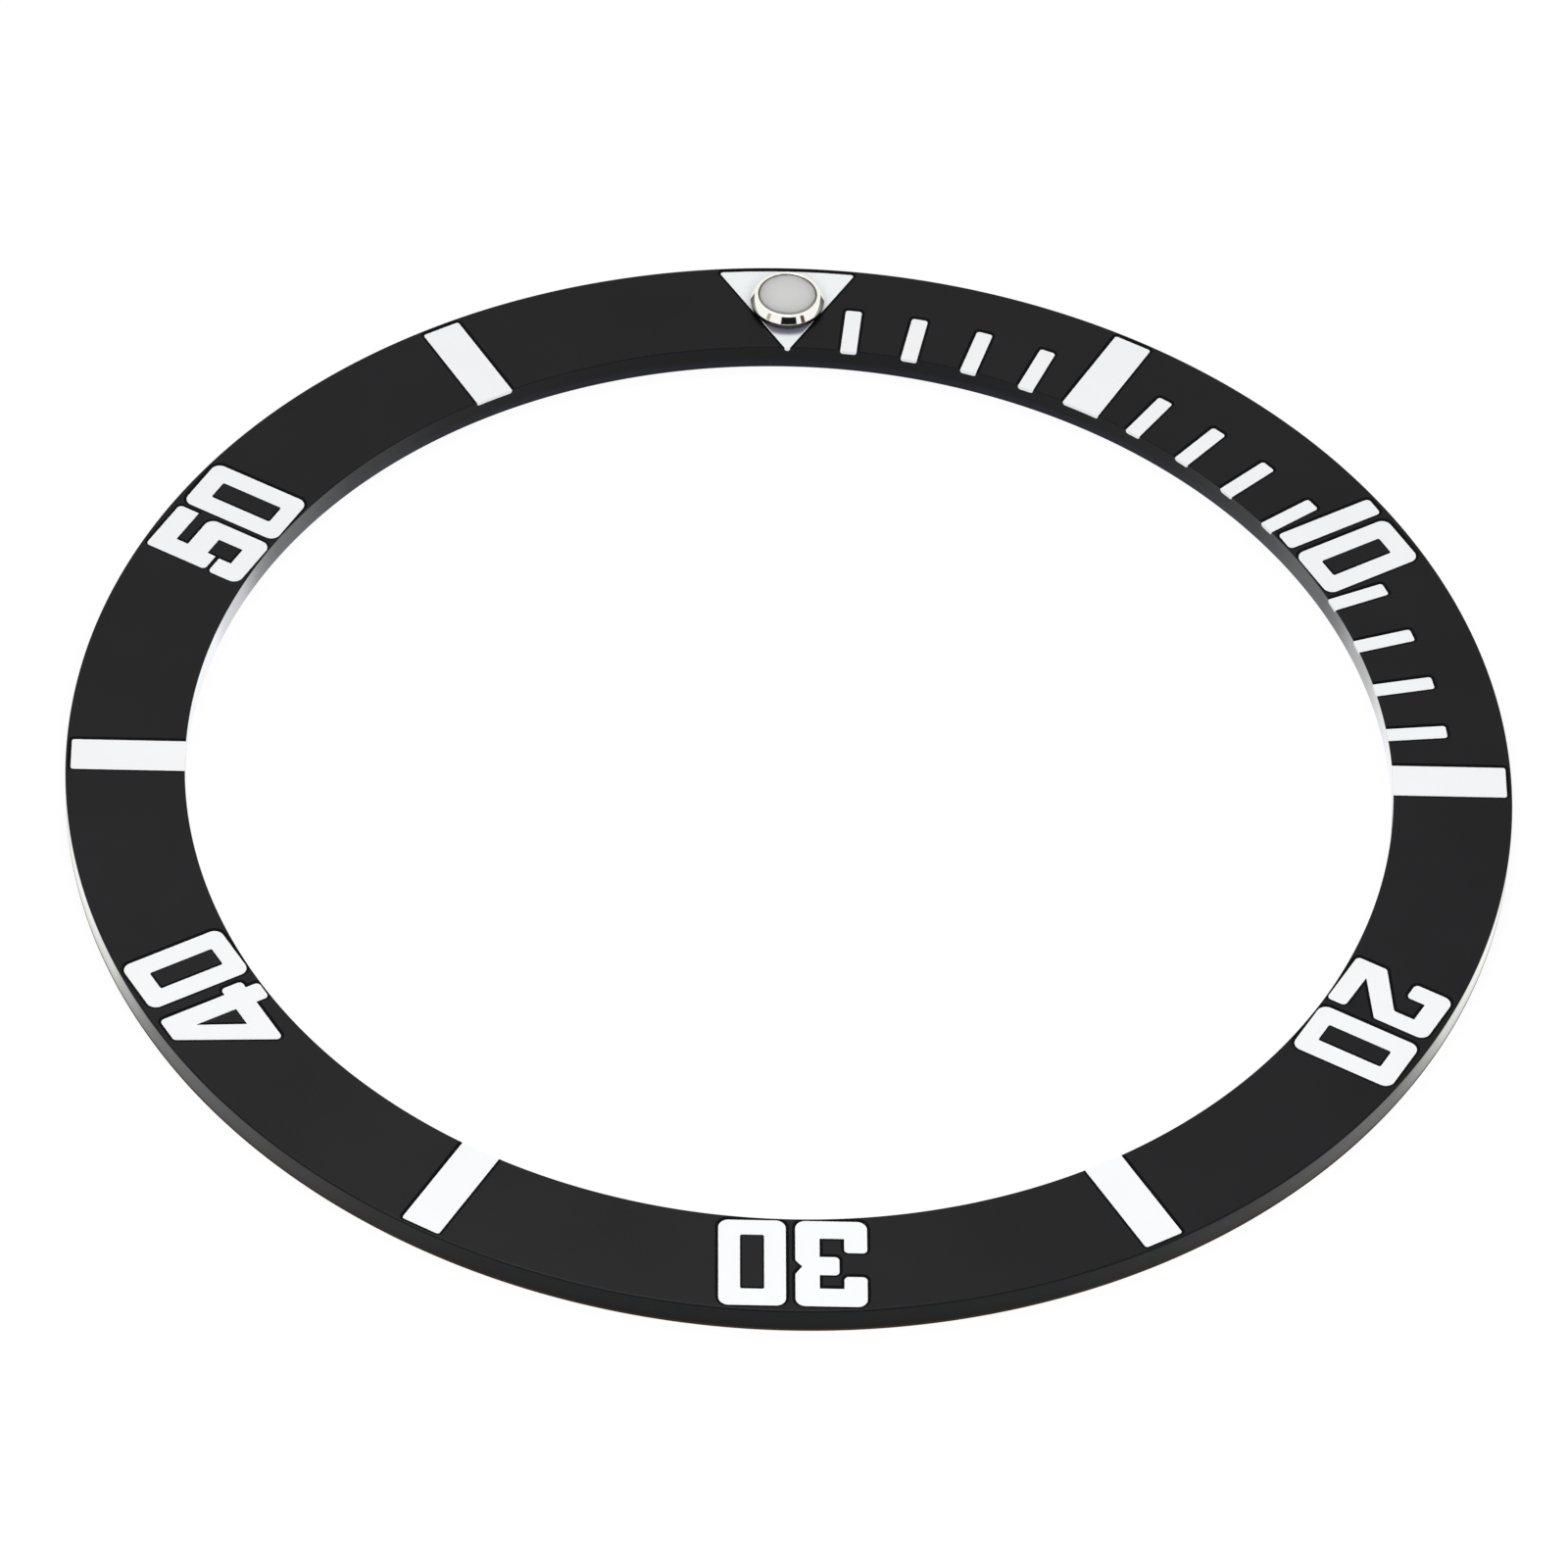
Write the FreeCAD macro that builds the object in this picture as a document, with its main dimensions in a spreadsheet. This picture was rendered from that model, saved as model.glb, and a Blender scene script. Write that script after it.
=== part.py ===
import FreeCAD, Part
import math
import os

import Sketcher

# Dive watch bezel insert: a thin flat ring with recessed, paint filled marks and a raised pearl.
# Millimetres. The origin is the centre of the underside, +Z is up and +Y points to the triangle.

doc = FreeCAD.newDocument("bezel_insert")

# Driving dimensions

DIMENSIONS = (
    ("outer_diameter", 38.0, "outside of the ring"),
    ("band_width", 3.135, "rim to bore"),
    ("thickness", 0.75, "underside to top face"),
    ("top_break", 0.08, "chamfer on the outer top edge"),
    ("bottom_break", 0.11, "chamfer on the outer bottom edge"),
    ("recess_depth", 0.135, "top face to the floor of a recess"),
    ("fill_drop", 0.03, "top face down to the paint"),
    ("overrun", 0.3, "how far a cutter runs past a face"),
    ("minute_angle", 6.0, "degrees from one minute to the next"),
    ("bar_width", 1.08, "five minute bar"),
    ("bar_margin", 0.15, "rim to the outer end of a bar"),
    ("bar_corner", 0.07, "corner radius of a bar"),
    ("tick_width", 0.44, "one minute tick"),
    ("tick_length", 1.585, "bore to the outer end of a tick"),
    ("tick_corner", 0.08, "corner radius of a tick"),
    ("triangle_margin", 0.11, "rim to the triangle's outer side"),
    ("triangle_half_angle", 5.65, "degrees of the dial from the centre line to a corner of the triangle"),
    ("triangle_tip_past", 0.12, "tip of the triangle past the bore wall"),
    ("triangle_corner", 0.07, "corner radius of the triangle"),
    ("digit_margin", 0.045, "bore to the foot of a digit"),
    ("digit_head_margin", 0.22, "rim to the head of a digit"),
    ("stroke", 0.55, "upright stroke of the zero"),
    ("foot_stroke", 0.50, "stroke at the foot of the zero"),
    ("head_stroke", 0.56, "stroke at the head of the zero"),
    ("big_corner", 0.26, "outer corner radius of a digit"),
    ("small_corner", 0.12, "corner radius at the end of a stroke"),
    ("eye_corner", 0.05, "corner radius inside a digit"),
    ("zero_span", 6.16, "figure zero at its foot, in degrees of the dial"),
    ("one_span", 2.23, "figure one, the same"),
    ("two_span", 6.12, "figure two, the same"),
    ("three_span", 6.56, "figure three, the same"),
    ("four_span", 8.00, "figure four, the same"),
    ("five_span", 6.20, "figure five, the same"),
    ("one_gap", 0.86, "between one and zero, in degrees of the dial"),
    ("two_gap", 0.94, "between two and zero, the same"),
    ("three_gap", 0.86, "between three and zero, the same"),
    ("four_gap", 0.76, "between four and zero, the same"),
    ("five_gap", 0.65, "between five and zero, the same"),
    ("pearl_margin", 1.45, "rim to the pearl's axis"),
    ("cup_diameter", 2.01, "pearl cup at its widest"),
    ("cup_undercut", 0.02, "widest point inwards to the edge of the seat"),
    ("cup_waist_height", 0.22, "seat up to the widest point"),
    ("cup_height", 0.39, "seat up to the rim"),
    ("cup_shoulder_inset", 0.045, "widest point inwards to the shoulder"),
    ("cup_shoulder_drop", 0.07, "rim down to the shoulder"),
    ("cup_rim", 0.025, "width of the flat rim"),
    ("cup_floor", 0.12, "seat up to the cup's floor"),
    ("cup_wall", 0.225, "widest point inwards to the luminous disc, which fills the cup"),
    ("lume_rise", 0.01, "rim up to the face of the disc"),
    ("lume_break", 0.03, "chamfer on the edge of the disc"),
    ("stem_diameter", 1.10, "stem, pressed into the ring"),
    ("stem_recess", 0.05, "underside up to the end of the stem"),
)

sheet = doc.addObject("Spreadsheet::Sheet", "dims")
for row, (alias, number, note) in enumerate(DIMENSIONS, start=1):
    sheet.set("A%d" % row, note)
    sheet.set("B%d" % row, str(number))
    sheet.setAlias("B%d" % row, alias)
doc.recompute()


# A size keeps its value together with the expression that ties it to the sheet

class Size:
    def __init__(self, value, text):
        self.value = value
        self.text = text

    def __add__(self, other):
        return Size(self.value + other.value, "(%s + %s)" % (self.text, other.text))

    def __sub__(self, other):
        return Size(self.value - other.value, "(%s - %s)" % (self.text, other.text))

    def __neg__(self):
        return Size(-self.value, "(-1 * %s)" % self.text)

    def __mul__(self, share):
        return Size(self.value * share, "(%s * %r)" % (self.text, share))

    def half(self):
        return Size(self.value / 2, "(%s / 2)" % self.text)

    def turned(self, function, angle):
        text = "(%s * %s(%s))" % (self.text, function, angle.text)
        return Size(self.value * getattr(math, function)(math.radians(angle.value)), text)


def size(alias):
    return Size(float(sheet.get(alias)), "dims." + alias)


ZERO = Size(0.0, "0")
outer_radius = size("outer_diameter").half()
bore_radius = outer_radius - size("band_width")
thickness = size("thickness")
overrun = size("overrun")
recess_floor = thickness - size("recess_depth")
fill_top = thickness - size("fill_drop")
pearl_place = outer_radius - size("pearl_margin")
digit_foot = bore_radius + size("digit_margin")
digit_height = outer_radius - size("digit_head_margin") - digit_foot


def dial_width(alias):
    """The straight width of a stretch of the dial given in degrees, at the foot of the digits."""
    return digit_foot.turned("sin", size(alias).half()) * 2


def bind(item, values):
    for name, value in values.items():
        item.setExpression(name, value.text)


# Sketches whose corners and radii follow the sheet

def direction(start, end):
    return (end - start).normalize()


def corner_cut(before, corner, after, radius):
    """Where a fillet between two straight edges starts and ends, and the middle of its arc."""
    back, ahead = direction(corner, before), direction(corner, after)
    half_angle = back.getAngle(ahead) / 2
    reach = radius / math.tan(half_angle)
    centre = corner + (back + ahead).normalize() * (radius / math.sin(half_angle))
    middle = centre + direction(centre, corner) * radius
    return corner + back * reach, corner + ahead * reach, middle


def draw(sketch, corners):
    """Adds a closed outline of straight edges. corners: (x, y, radius) as sizes, radius ZERO for a sharp one."""
    points = [FreeCAD.Vector(x.value, y.value, 0) for x, y, radius in corners]
    cuts = []
    for index, (x, y, radius) in enumerate(corners):
        before, corner, after = points[index - 1], points[index], points[(index + 1) % len(points)]
        if radius.value:
            cuts.append(corner_cut(before, corner, after, radius.value))
        else:
            cuts.append((corner, corner, corner))
    edges = []
    for index in range(len(corners)):
        ahead = cuts[(index + 1) % len(cuts)]
        edges.append(sketch.addGeometry(Part.LineSegment(cuts[index][1], ahead[0]), False))
    for index, (x, y, radius) in enumerate(corners):
        incoming, outgoing = edges[index - 1], edges[index]
        if radius.value:
            start, end, middle = cuts[index]
            arc = sketch.addGeometry(Part.Arc(start, middle, end), False)
            anchor = sketch.addGeometry(Part.Point(points[index]), True)
            near = sketch.getPoint(arc, 1).distanceToPoint(start)
            first = 1 if near < sketch.getPoint(arc, 2).distanceToPoint(start) else 2
            sketch.addConstraint(Sketcher.Constraint("Tangent", incoming, 2, arc, first))
            sketch.addConstraint(Sketcher.Constraint("Tangent", arc, 3 - first, outgoing, 1))
            number = sketch.addConstraint(Sketcher.Constraint("Radius", arc, radius.value))
            sketch.setExpression("Constraints[%d]" % number, radius.text)
            sketch.addConstraint(Sketcher.Constraint("PointOnObject", anchor, 1, incoming))
            sketch.addConstraint(Sketcher.Constraint("PointOnObject", anchor, 1, outgoing))
        else:
            sketch.addConstraint(Sketcher.Constraint("Coincident", incoming, 2, outgoing, 1))
            anchor = outgoing
        for kind, value in (("DistanceX", x), ("DistanceY", y)):
            number = sketch.addConstraint(Sketcher.Constraint(kind, -1, 1, anchor, 1, value.value))
            sketch.setExpression("Constraints[%d]" % number, value.text)


def outline_sketch(name):
    return doc.addObject("Sketcher::SketchObject", name)


def bar_corners(width, outer_end, corner):
    """A mark that runs outwards from inside the opening."""
    inner_end = bore_radius - overrun
    side = width.half()
    return [(-side, inner_end, ZERO), (side, inner_end, ZERO), (side, outer_end, corner), (-side, outer_end, corner)]


def shaped_corners(width, height, shares):
    corners = []
    for x_share, y_share, kind in shares:
        radius = size(kind + "_corner") if kind else ZERO
        corners.append((width * x_share, height * y_share, radius))
    return corners


def draw_triangle(sketch):
    """Straight sides from the tip, and an outer side that follows the rim."""
    arc_radius = outer_radius - size("triangle_margin")
    half_width = arc_radius.turned("sin", size("triangle_half_angle"))
    corner_height = arc_radius.turned("cos", size("triangle_half_angle"))
    corner = size("triangle_corner")
    tip = bore_radius - size("triangle_tip_past")
    tip_point = FreeCAD.Vector(0, tip.value, 0)
    corner_point = FreeCAD.Vector(half_width.value, corner_height.value, 0)
    outwards = direction(tip_point, corner_point)
    inwards = FreeCAD.Vector(-outwards.y, outwards.x, 0)
    offset_start = tip_point + inwards * corner.value
    inner_arc_radius = arc_radius.value - corner.value
    along = offset_start.dot(outwards)
    reach = -along + math.sqrt(along ** 2 - offset_start.dot(offset_start) + inner_arc_radius ** 2)
    centre = offset_start + outwards * reach
    side_end = tip_point + outwards * reach
    arc_end = centre * (arc_radius.value / centre.Length)
    middle = centre + direction(centre, (side_end + arc_end) * 0.5) * corner.value

    def mirrored(point):
        return FreeCAD.Vector(-point.x, point.y, 0)

    right = sketch.addGeometry(Part.LineSegment(tip_point, side_end), False)
    right_round = sketch.addGeometry(Part.Arc(side_end, middle, arc_end), False)
    crown = FreeCAD.Vector(0, arc_radius.value, 0)
    outer = sketch.addGeometry(Part.Arc(arc_end, crown, mirrored(arc_end)), False)
    left_round = sketch.addGeometry(Part.Arc(mirrored(arc_end), mirrored(middle), mirrored(side_end)), False)
    left = sketch.addGeometry(Part.LineSegment(mirrored(side_end), tip_point), False)
    for first, second in ((right, right_round), (right_round, outer), (outer, left_round), (left_round, left)):
        sketch.addConstraint(Sketcher.Constraint("Tangent", first, 2, second, 1))
    sketch.addConstraint(Sketcher.Constraint("Coincident", left, 2, right, 1))
    sketch.addConstraint(Sketcher.Constraint("Coincident", outer, 3, -1, 1))
    anchors = []
    for side, point in ((right, corner_point), (left, mirrored(corner_point))):
        anchor = sketch.addGeometry(Part.Point(point), True)
        sketch.addConstraint(Sketcher.Constraint("PointOnObject", anchor, 1, side))
        anchors.append(anchor)
    measured = [
        ("Radius", (outer,), arc_radius), ("Radius", (right_round,), corner), ("Radius", (left_round,), corner),
        ("DistanceX", (-1, 1, right, 1), ZERO), ("DistanceY", (-1, 1, right, 1), tip),
        ("DistanceX", (-1, 1, anchors[0], 1), half_width), ("DistanceY", (-1, 1, anchors[0], 1), corner_height),
        ("DistanceX", (-1, 1, anchors[1], 1), -half_width), ("DistanceY", (-1, 1, anchors[1], 1), corner_height),
    ]
    for kind, picked, value in measured:
        number = sketch.addConstraint(Sketcher.Constraint(kind, *picked, value.value))
        sketch.setExpression("Constraints[%d]" % number, value.text)


# Figures: x as a share of the figure's width from its left edge, y as a share of its height from its foot,
# and the kind of corner

ONE_SHARES = ((0, 0, "small"), (1, 0, "small"), (1, 1, "small"), (0, 1, "small"))

TWO_SHARES = (
    (0, 0, "small"), (1, 0, "small"), (1, 0.185, "small"), (0.32, 0.19, None), (1, 0.48, "small"),
    (1, 1, "big"), (0.05, 1, "big"), (0.05, 0.61, "small"), (0.355, 0.61, "small"),
    (0.355, 0.797, None), (0.706, 0.797, None), (0.706, 0.593, "small"), (0, 0.302, "small"),
)

THREE_SHARES = (
    (0, 0, "big"), (1, 0, "big"), (1, 0.463, "small"), (0.905, 0.536, None), (1, 0.626, "small"),
    (1, 1, "big"), (0, 1, "big"), (0, 0.649, "small"), (0.32, 0.649, "small"), (0.32, 0.791, None),
    (0.662, 0.791, None), (0.662, 0.634, None), (0.388, 0.634, "small"), (0.388, 0.42, "small"),
    (0.662, 0.42, None), (0.662, 0.205, None), (0.32, 0.205, None), (0.32, 0.37, "small"),
    (0, 0.37, "small"),
)

FOUR_SHARES = (
    (0.632, 0, "small"), (0.892, 0, "small"), (0.892, 0.129, None), (1, 0.129, "small"),
    (1, 0.34, "small"), (0.903, 0.34, None), (0.903, 1, "small"), (0.557, 1, "small"),
    (-0.038, 0.129, "small"), (0.632, 0.129, None),
)
FOUR_EYE_SHARES = ((0.376, 0.331, None), (0.6435, 0.331, None), (0.6435, 0.736, None))

FIVE_SHARES = (
    (0, 0, "big"), (1, 0, "big"), (1, 0.666, "big"), (0.349, 0.666, None), (0.349, 0.79, None),
    (1.01, 0.79, None), (1.01, 1, "small"), (0.013, 1, "small"), (0.013, 0.36, "small"),
    (0.341, 0.36, None), (0.341, 0.448, None), (0.678, 0.448, None), (0.678, 0.191, None),
    (0.33, 0.191, None), (0.33, 0.319, None), (0, 0.319, "small"),
)

FIGURES = {"one": (ONE_SHARES,), "two": (TWO_SHARES,), "three": (THREE_SHARES,),
           "four": (FOUR_SHARES, FOUR_EYE_SHARES), "five": (FIVE_SHARES,)}


def figure_sketches():
    sketches = {}
    for word, loops in FIGURES.items():
        sketches[word] = outline_sketch("outline_" + word)
        for shares in loops:
            draw(sketches[word], shaped_corners(dial_width(word + "_span"), digit_height, shares))
    return sketches


def draw_box(sketch, left, low, right, high, corner):
    draw(sketch, [(left, low, corner), (right, low, corner), (right, high, corner), (left, high, corner)])


def zero_sketch():
    sketch = outline_sketch("outline_zero")
    width = dial_width("zero_span")
    left, right = size("stroke"), width - size("stroke")
    low, high = size("foot_stroke"), digit_height - size("head_stroke")
    draw_box(sketch, ZERO, ZERO, width, digit_height, size("big_corner"))
    draw_box(sketch, left, low, right, high, size("eye_corner"))
    return sketch


# Marks

bore_plug = doc.addObject("Part::Cylinder", "bore_plug")
bind(bore_plug, {"Radius": bore_radius, "Height": thickness})
stem_hole = doc.addObject("Part::Cylinder", "stem_hole")
bind(stem_hole, {"Radius": size("stem_diameter").half(), "Height": thickness + overrun + overrun,
                 "Placement.Base.y": pearl_place, "Placement.Base.z": -overrun})

pieces = []
cutters = []


def prism(name, sketch, length, minute, across, outwards):
    """A sketch raised from the recess floor, turned clockwise to its minute and moved within its own frame."""
    solid = doc.addObject("Part::Extrusion", name)
    solid.Base = sketch
    solid.Dir = FreeCAD.Vector(0, 0, 1)
    solid.Solid = True
    solid.FaceMakerClass = "Part::FaceMakerBullseye"
    angle = size("minute_angle") * minute
    solid.Placement = FreeCAD.Placement(FreeCAD.Vector(), FreeCAD.Rotation(FreeCAD.Vector(0, 0, 1), -angle.value))
    bind(solid, {"LengthFwd": length,
                 "Placement.Base.x": across.turned("cos", angle) + outwards.turned("sin", angle),
                 "Placement.Base.y": outwards.turned("cos", angle) - across.turned("sin", angle),
                 "Placement.Base.z": recess_floor})
    return solid


def mark(label, sketch, minute, across=ZERO, outwards=ZERO, cut_away=None):
    """The paint in one recess, and the cutter that makes the recess."""
    paint = prism(label + "_fill", sketch, fill_top - recess_floor, minute, across, outwards)
    cutters.append(prism(label + "_cutter", sketch, size("recess_depth") + overrun, minute, across, outwards))
    if cut_away:
        trimmed = doc.addObject("Part::Cut", label + "_trimmed")
        trimmed.Base = paint
        trimmed.Tool = cut_away
        paint = trimmed
    paint.Label = label
    pieces.append(paint)


def bars_and_ticks():
    bar = outline_sketch("outline_bar")
    draw(bar, bar_corners(size("bar_width"), outer_radius - size("bar_margin"), size("bar_corner")))
    tick = outline_sketch("outline_tick")
    draw(tick, bar_corners(size("tick_width"), bore_radius + size("tick_length"), size("tick_corner")))
    for minute in range(5, 60, 10):
        mark("bar_inlay_%02d" % minute, bar, minute, cut_away=bore_plug)
    for minute in range(1, 15):
        if minute % 5:
            mark("tick_inlay_%02d" % minute, tick, minute, cut_away=bore_plug)


def triangle():
    sketch = outline_sketch("outline_triangle")
    draw_triangle(sketch)
    removed = doc.addObject("Part::Compound", "triangle_openings")
    removed.Links = [bore_plug, stem_hole]
    mark("triangle_inlay", sketch, 0, cut_away=removed)


def numerals():
    zero = zero_sketch()
    for minute, (word, sketch) in zip(range(10, 60, 10), figure_sketches().items()):
        first, gap, last = (dial_width(alias) for alias in (word + "_span", word + "_gap", "zero_span"))
        left = -(first + gap + last).half()
        mark("numeral_%d_%s" % (minute, word), sketch, minute, left, digit_foot)
        mark("numeral_%d_zero" % minute, zero, minute, left + first + gap, digit_foot)


# Turned pieces

def turned(name, corners):
    """A half section turned round the Z axis."""
    body = doc.addObject("PartDesign::Body", name)
    planes = {item.Role: item for item in body.Origin.OriginFeatures}
    sketch = body.newObject("Sketcher::SketchObject", name + "_section")
    sketch.AttachmentSupport = [(planes["XZ_Plane"], "")]
    sketch.MapMode = "FlatFace"
    draw(sketch, corners)
    revolution = body.newObject("PartDesign::Revolution", name + "_turned")
    revolution.Profile = sketch
    revolution.ReferenceAxis = (sketch, ["V_Axis"])
    revolution.Angle = 360
    sketch.Visibility = False
    body.Tip = revolution
    return body


def ring():
    top_break, bottom_break = size("top_break"), size("bottom_break")
    blank = turned("ring_blank", [
        (bore_radius, ZERO, ZERO), (outer_radius - bottom_break, ZERO, ZERO), (outer_radius, bottom_break, ZERO),
        (outer_radius, thickness - top_break, ZERO), (outer_radius - top_break, thickness, ZERO),
        (bore_radius, thickness, ZERO)])
    recesses = doc.addObject("Part::Compound", "recesses")
    recesses.Links = cutters
    marked = doc.addObject("Part::Cut", "marked_ring")
    marked.Base = blank
    marked.Tool = recesses
    drilled = doc.addObject("Part::Cut", "drilled_ring")
    drilled.Base = marked
    drilled.Tool = stem_hole
    drilled.Label = "insert_ring"
    pieces.append(drilled)


def pearl():
    """Both pieces are drawn from the seat on the top face upwards."""
    stem, waist, height = size("stem_diameter").half(), size("cup_diameter").half(), size("cup_height")
    seat, lume = waist - size("cup_undercut"), waist - size("cup_wall")
    floor = size("cup_floor")
    stem_end = size("stem_recess") - thickness
    rim = lume + size("cup_rim")
    cup = turned("pearl_cup", [
        (ZERO, stem_end, ZERO), (stem, stem_end, ZERO), (stem, ZERO, ZERO), (seat, ZERO, ZERO),
        (waist, size("cup_waist_height"), ZERO),
        (waist - size("cup_shoulder_inset"), height - size("cup_shoulder_drop"), ZERO),
        (rim, height, ZERO), (lume, height, ZERO), (lume, floor, ZERO), (ZERO, floor, ZERO)])
    face, lume_break = height + size("lume_rise"), size("lume_break")
    disc = turned("pearl_lume", [
        (ZERO, floor, ZERO), (lume, floor, ZERO), (lume, face - lume_break, ZERO),
        (lume - lume_break, face, ZERO), (ZERO, face, ZERO)])
    for piece in (cup, disc):
        bind(piece, {"Placement.Base.y": pearl_place, "Placement.Base.z": thickness})
        pieces.append(piece)


bars_and_ticks()
triangle()
numerals()
ring()
pearl()
doc.recompute()

# Nothing is written unless every object is sound

for item in doc.Objects:
    if "Invalid" in item.State or "Error" in item.State:
        raise RuntimeError("%s is not sound: %s" % (item.Name, item.State))
for piece in pieces:
    if piece.Shape.isNull() or not piece.Shape.isValid() or len(piece.Shape.Solids) != 1:
        raise RuntimeError("%s has no single valid solid" % piece.Label)

os.makedirs("parts", exist_ok=True)
for piece in pieces:
    piece.Shape.exportStep(os.path.join("parts", piece.Label + ".step"))
    box = piece.Shape.BoundBox
    print("%-20s volume %9.4f  z %.3f to %.3f" % (piece.Label, piece.Shape.Volume, box.ZMin, box.ZMax))
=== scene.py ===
import math

import bmesh
import bpy
from mathutils import Matrix, Vector
from mathutils.geometry import tessellate_polygon


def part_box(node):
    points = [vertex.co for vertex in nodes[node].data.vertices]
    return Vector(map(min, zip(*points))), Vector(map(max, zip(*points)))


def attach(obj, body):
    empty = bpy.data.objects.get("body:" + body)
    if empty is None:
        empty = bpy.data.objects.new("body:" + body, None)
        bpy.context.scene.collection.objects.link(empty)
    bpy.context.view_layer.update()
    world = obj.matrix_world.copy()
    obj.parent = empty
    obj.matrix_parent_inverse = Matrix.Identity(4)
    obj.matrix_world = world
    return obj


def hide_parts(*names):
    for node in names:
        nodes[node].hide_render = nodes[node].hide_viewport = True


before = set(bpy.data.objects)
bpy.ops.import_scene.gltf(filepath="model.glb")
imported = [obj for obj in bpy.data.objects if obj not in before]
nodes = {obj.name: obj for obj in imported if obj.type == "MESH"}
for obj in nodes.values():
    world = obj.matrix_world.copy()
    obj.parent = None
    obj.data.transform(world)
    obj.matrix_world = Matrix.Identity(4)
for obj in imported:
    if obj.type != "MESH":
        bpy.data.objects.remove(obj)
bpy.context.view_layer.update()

# A dive watch bezel insert on a white floor. Metres; the ring's underside is at z = 0, +Z is up, +Y to the triangle.

MM = 0.001
RING_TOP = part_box("insert_ring")[1][2]
RIM_RADIUS = min(abs(corner[axis]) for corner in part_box("insert_ring") for axis in (0, 1))
BORE_RADIUS = min(vertex.co.xy.length for vertex in nodes["insert_ring"].data.vertices)
FILL_FLOOR, FILL_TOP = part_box("triangle_inlay")[0][2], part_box("triangle_inlay")[1][2]
WHITE = (1.0, 1.0, 1.0)

# Camera, as the edges of the ring and of its marks give it

IMAGE_PX = 1600
SENSOR_MM = 36.0
FOCAL_PX = 12180.3
CAMERA_ELEVATION = math.radians(46.122)
CAMERA_ROLL = math.radians(2.743)
CAMERA_CLOCK = math.radians(182.204)
CAMERA_DISTANCE = 313.42 * MM
PICTURE_MOVE_PX = (6.01, -16.61)


def add_camera():
    flat = Vector((math.sin(CAMERA_CLOCK), math.cos(CAMERA_CLOCK), 0.0))
    back = flat * math.cos(CAMERA_ELEVATION) + Vector((0.0, 0.0, math.sin(CAMERA_ELEVATION)))
    right = Vector((-flat.y, flat.x, 0.0))
    up = back.cross(right)
    turned_right = right * math.cos(CAMERA_ROLL) + up * math.sin(CAMERA_ROLL)
    turned_up = up * math.cos(CAMERA_ROLL) - right * math.sin(CAMERA_ROLL)
    step = CAMERA_DISTANCE / FOCAL_PX
    place = Vector((0.0, 0.0, RING_TOP)) + back * CAMERA_DISTANCE
    place += turned_up * PICTURE_MOVE_PX[1] * step - turned_right * PICTURE_MOVE_PX[0] * step
    data = bpy.data.cameras.new("camera")
    data.sensor_width = SENSOR_MM
    data.lens = FOCAL_PX * SENSOR_MM / IMAGE_PX
    camera = bpy.data.objects.new("camera", data)
    bpy.context.scene.collection.objects.link(camera)
    camera.matrix_world = basis(turned_right, turned_up, back, place)
    bpy.context.scene.camera = camera


def basis(x_axis, y_axis, z_axis, place):
    columns = Matrix((x_axis, y_axis, z_axis)).transposed().to_4x4()
    columns.translation = place
    return columns


# Node trees

# The mix node has several sockets of each name, so those for colours are taken by number
MIX_FACTOR, MIX_FIRST, MIX_SECOND, MIX_RESULT = 0, 6, 7, 2
# Most of a noise lies between these values
NOISE_LOW, NOISE_HIGH = 0.3, 0.7


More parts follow.
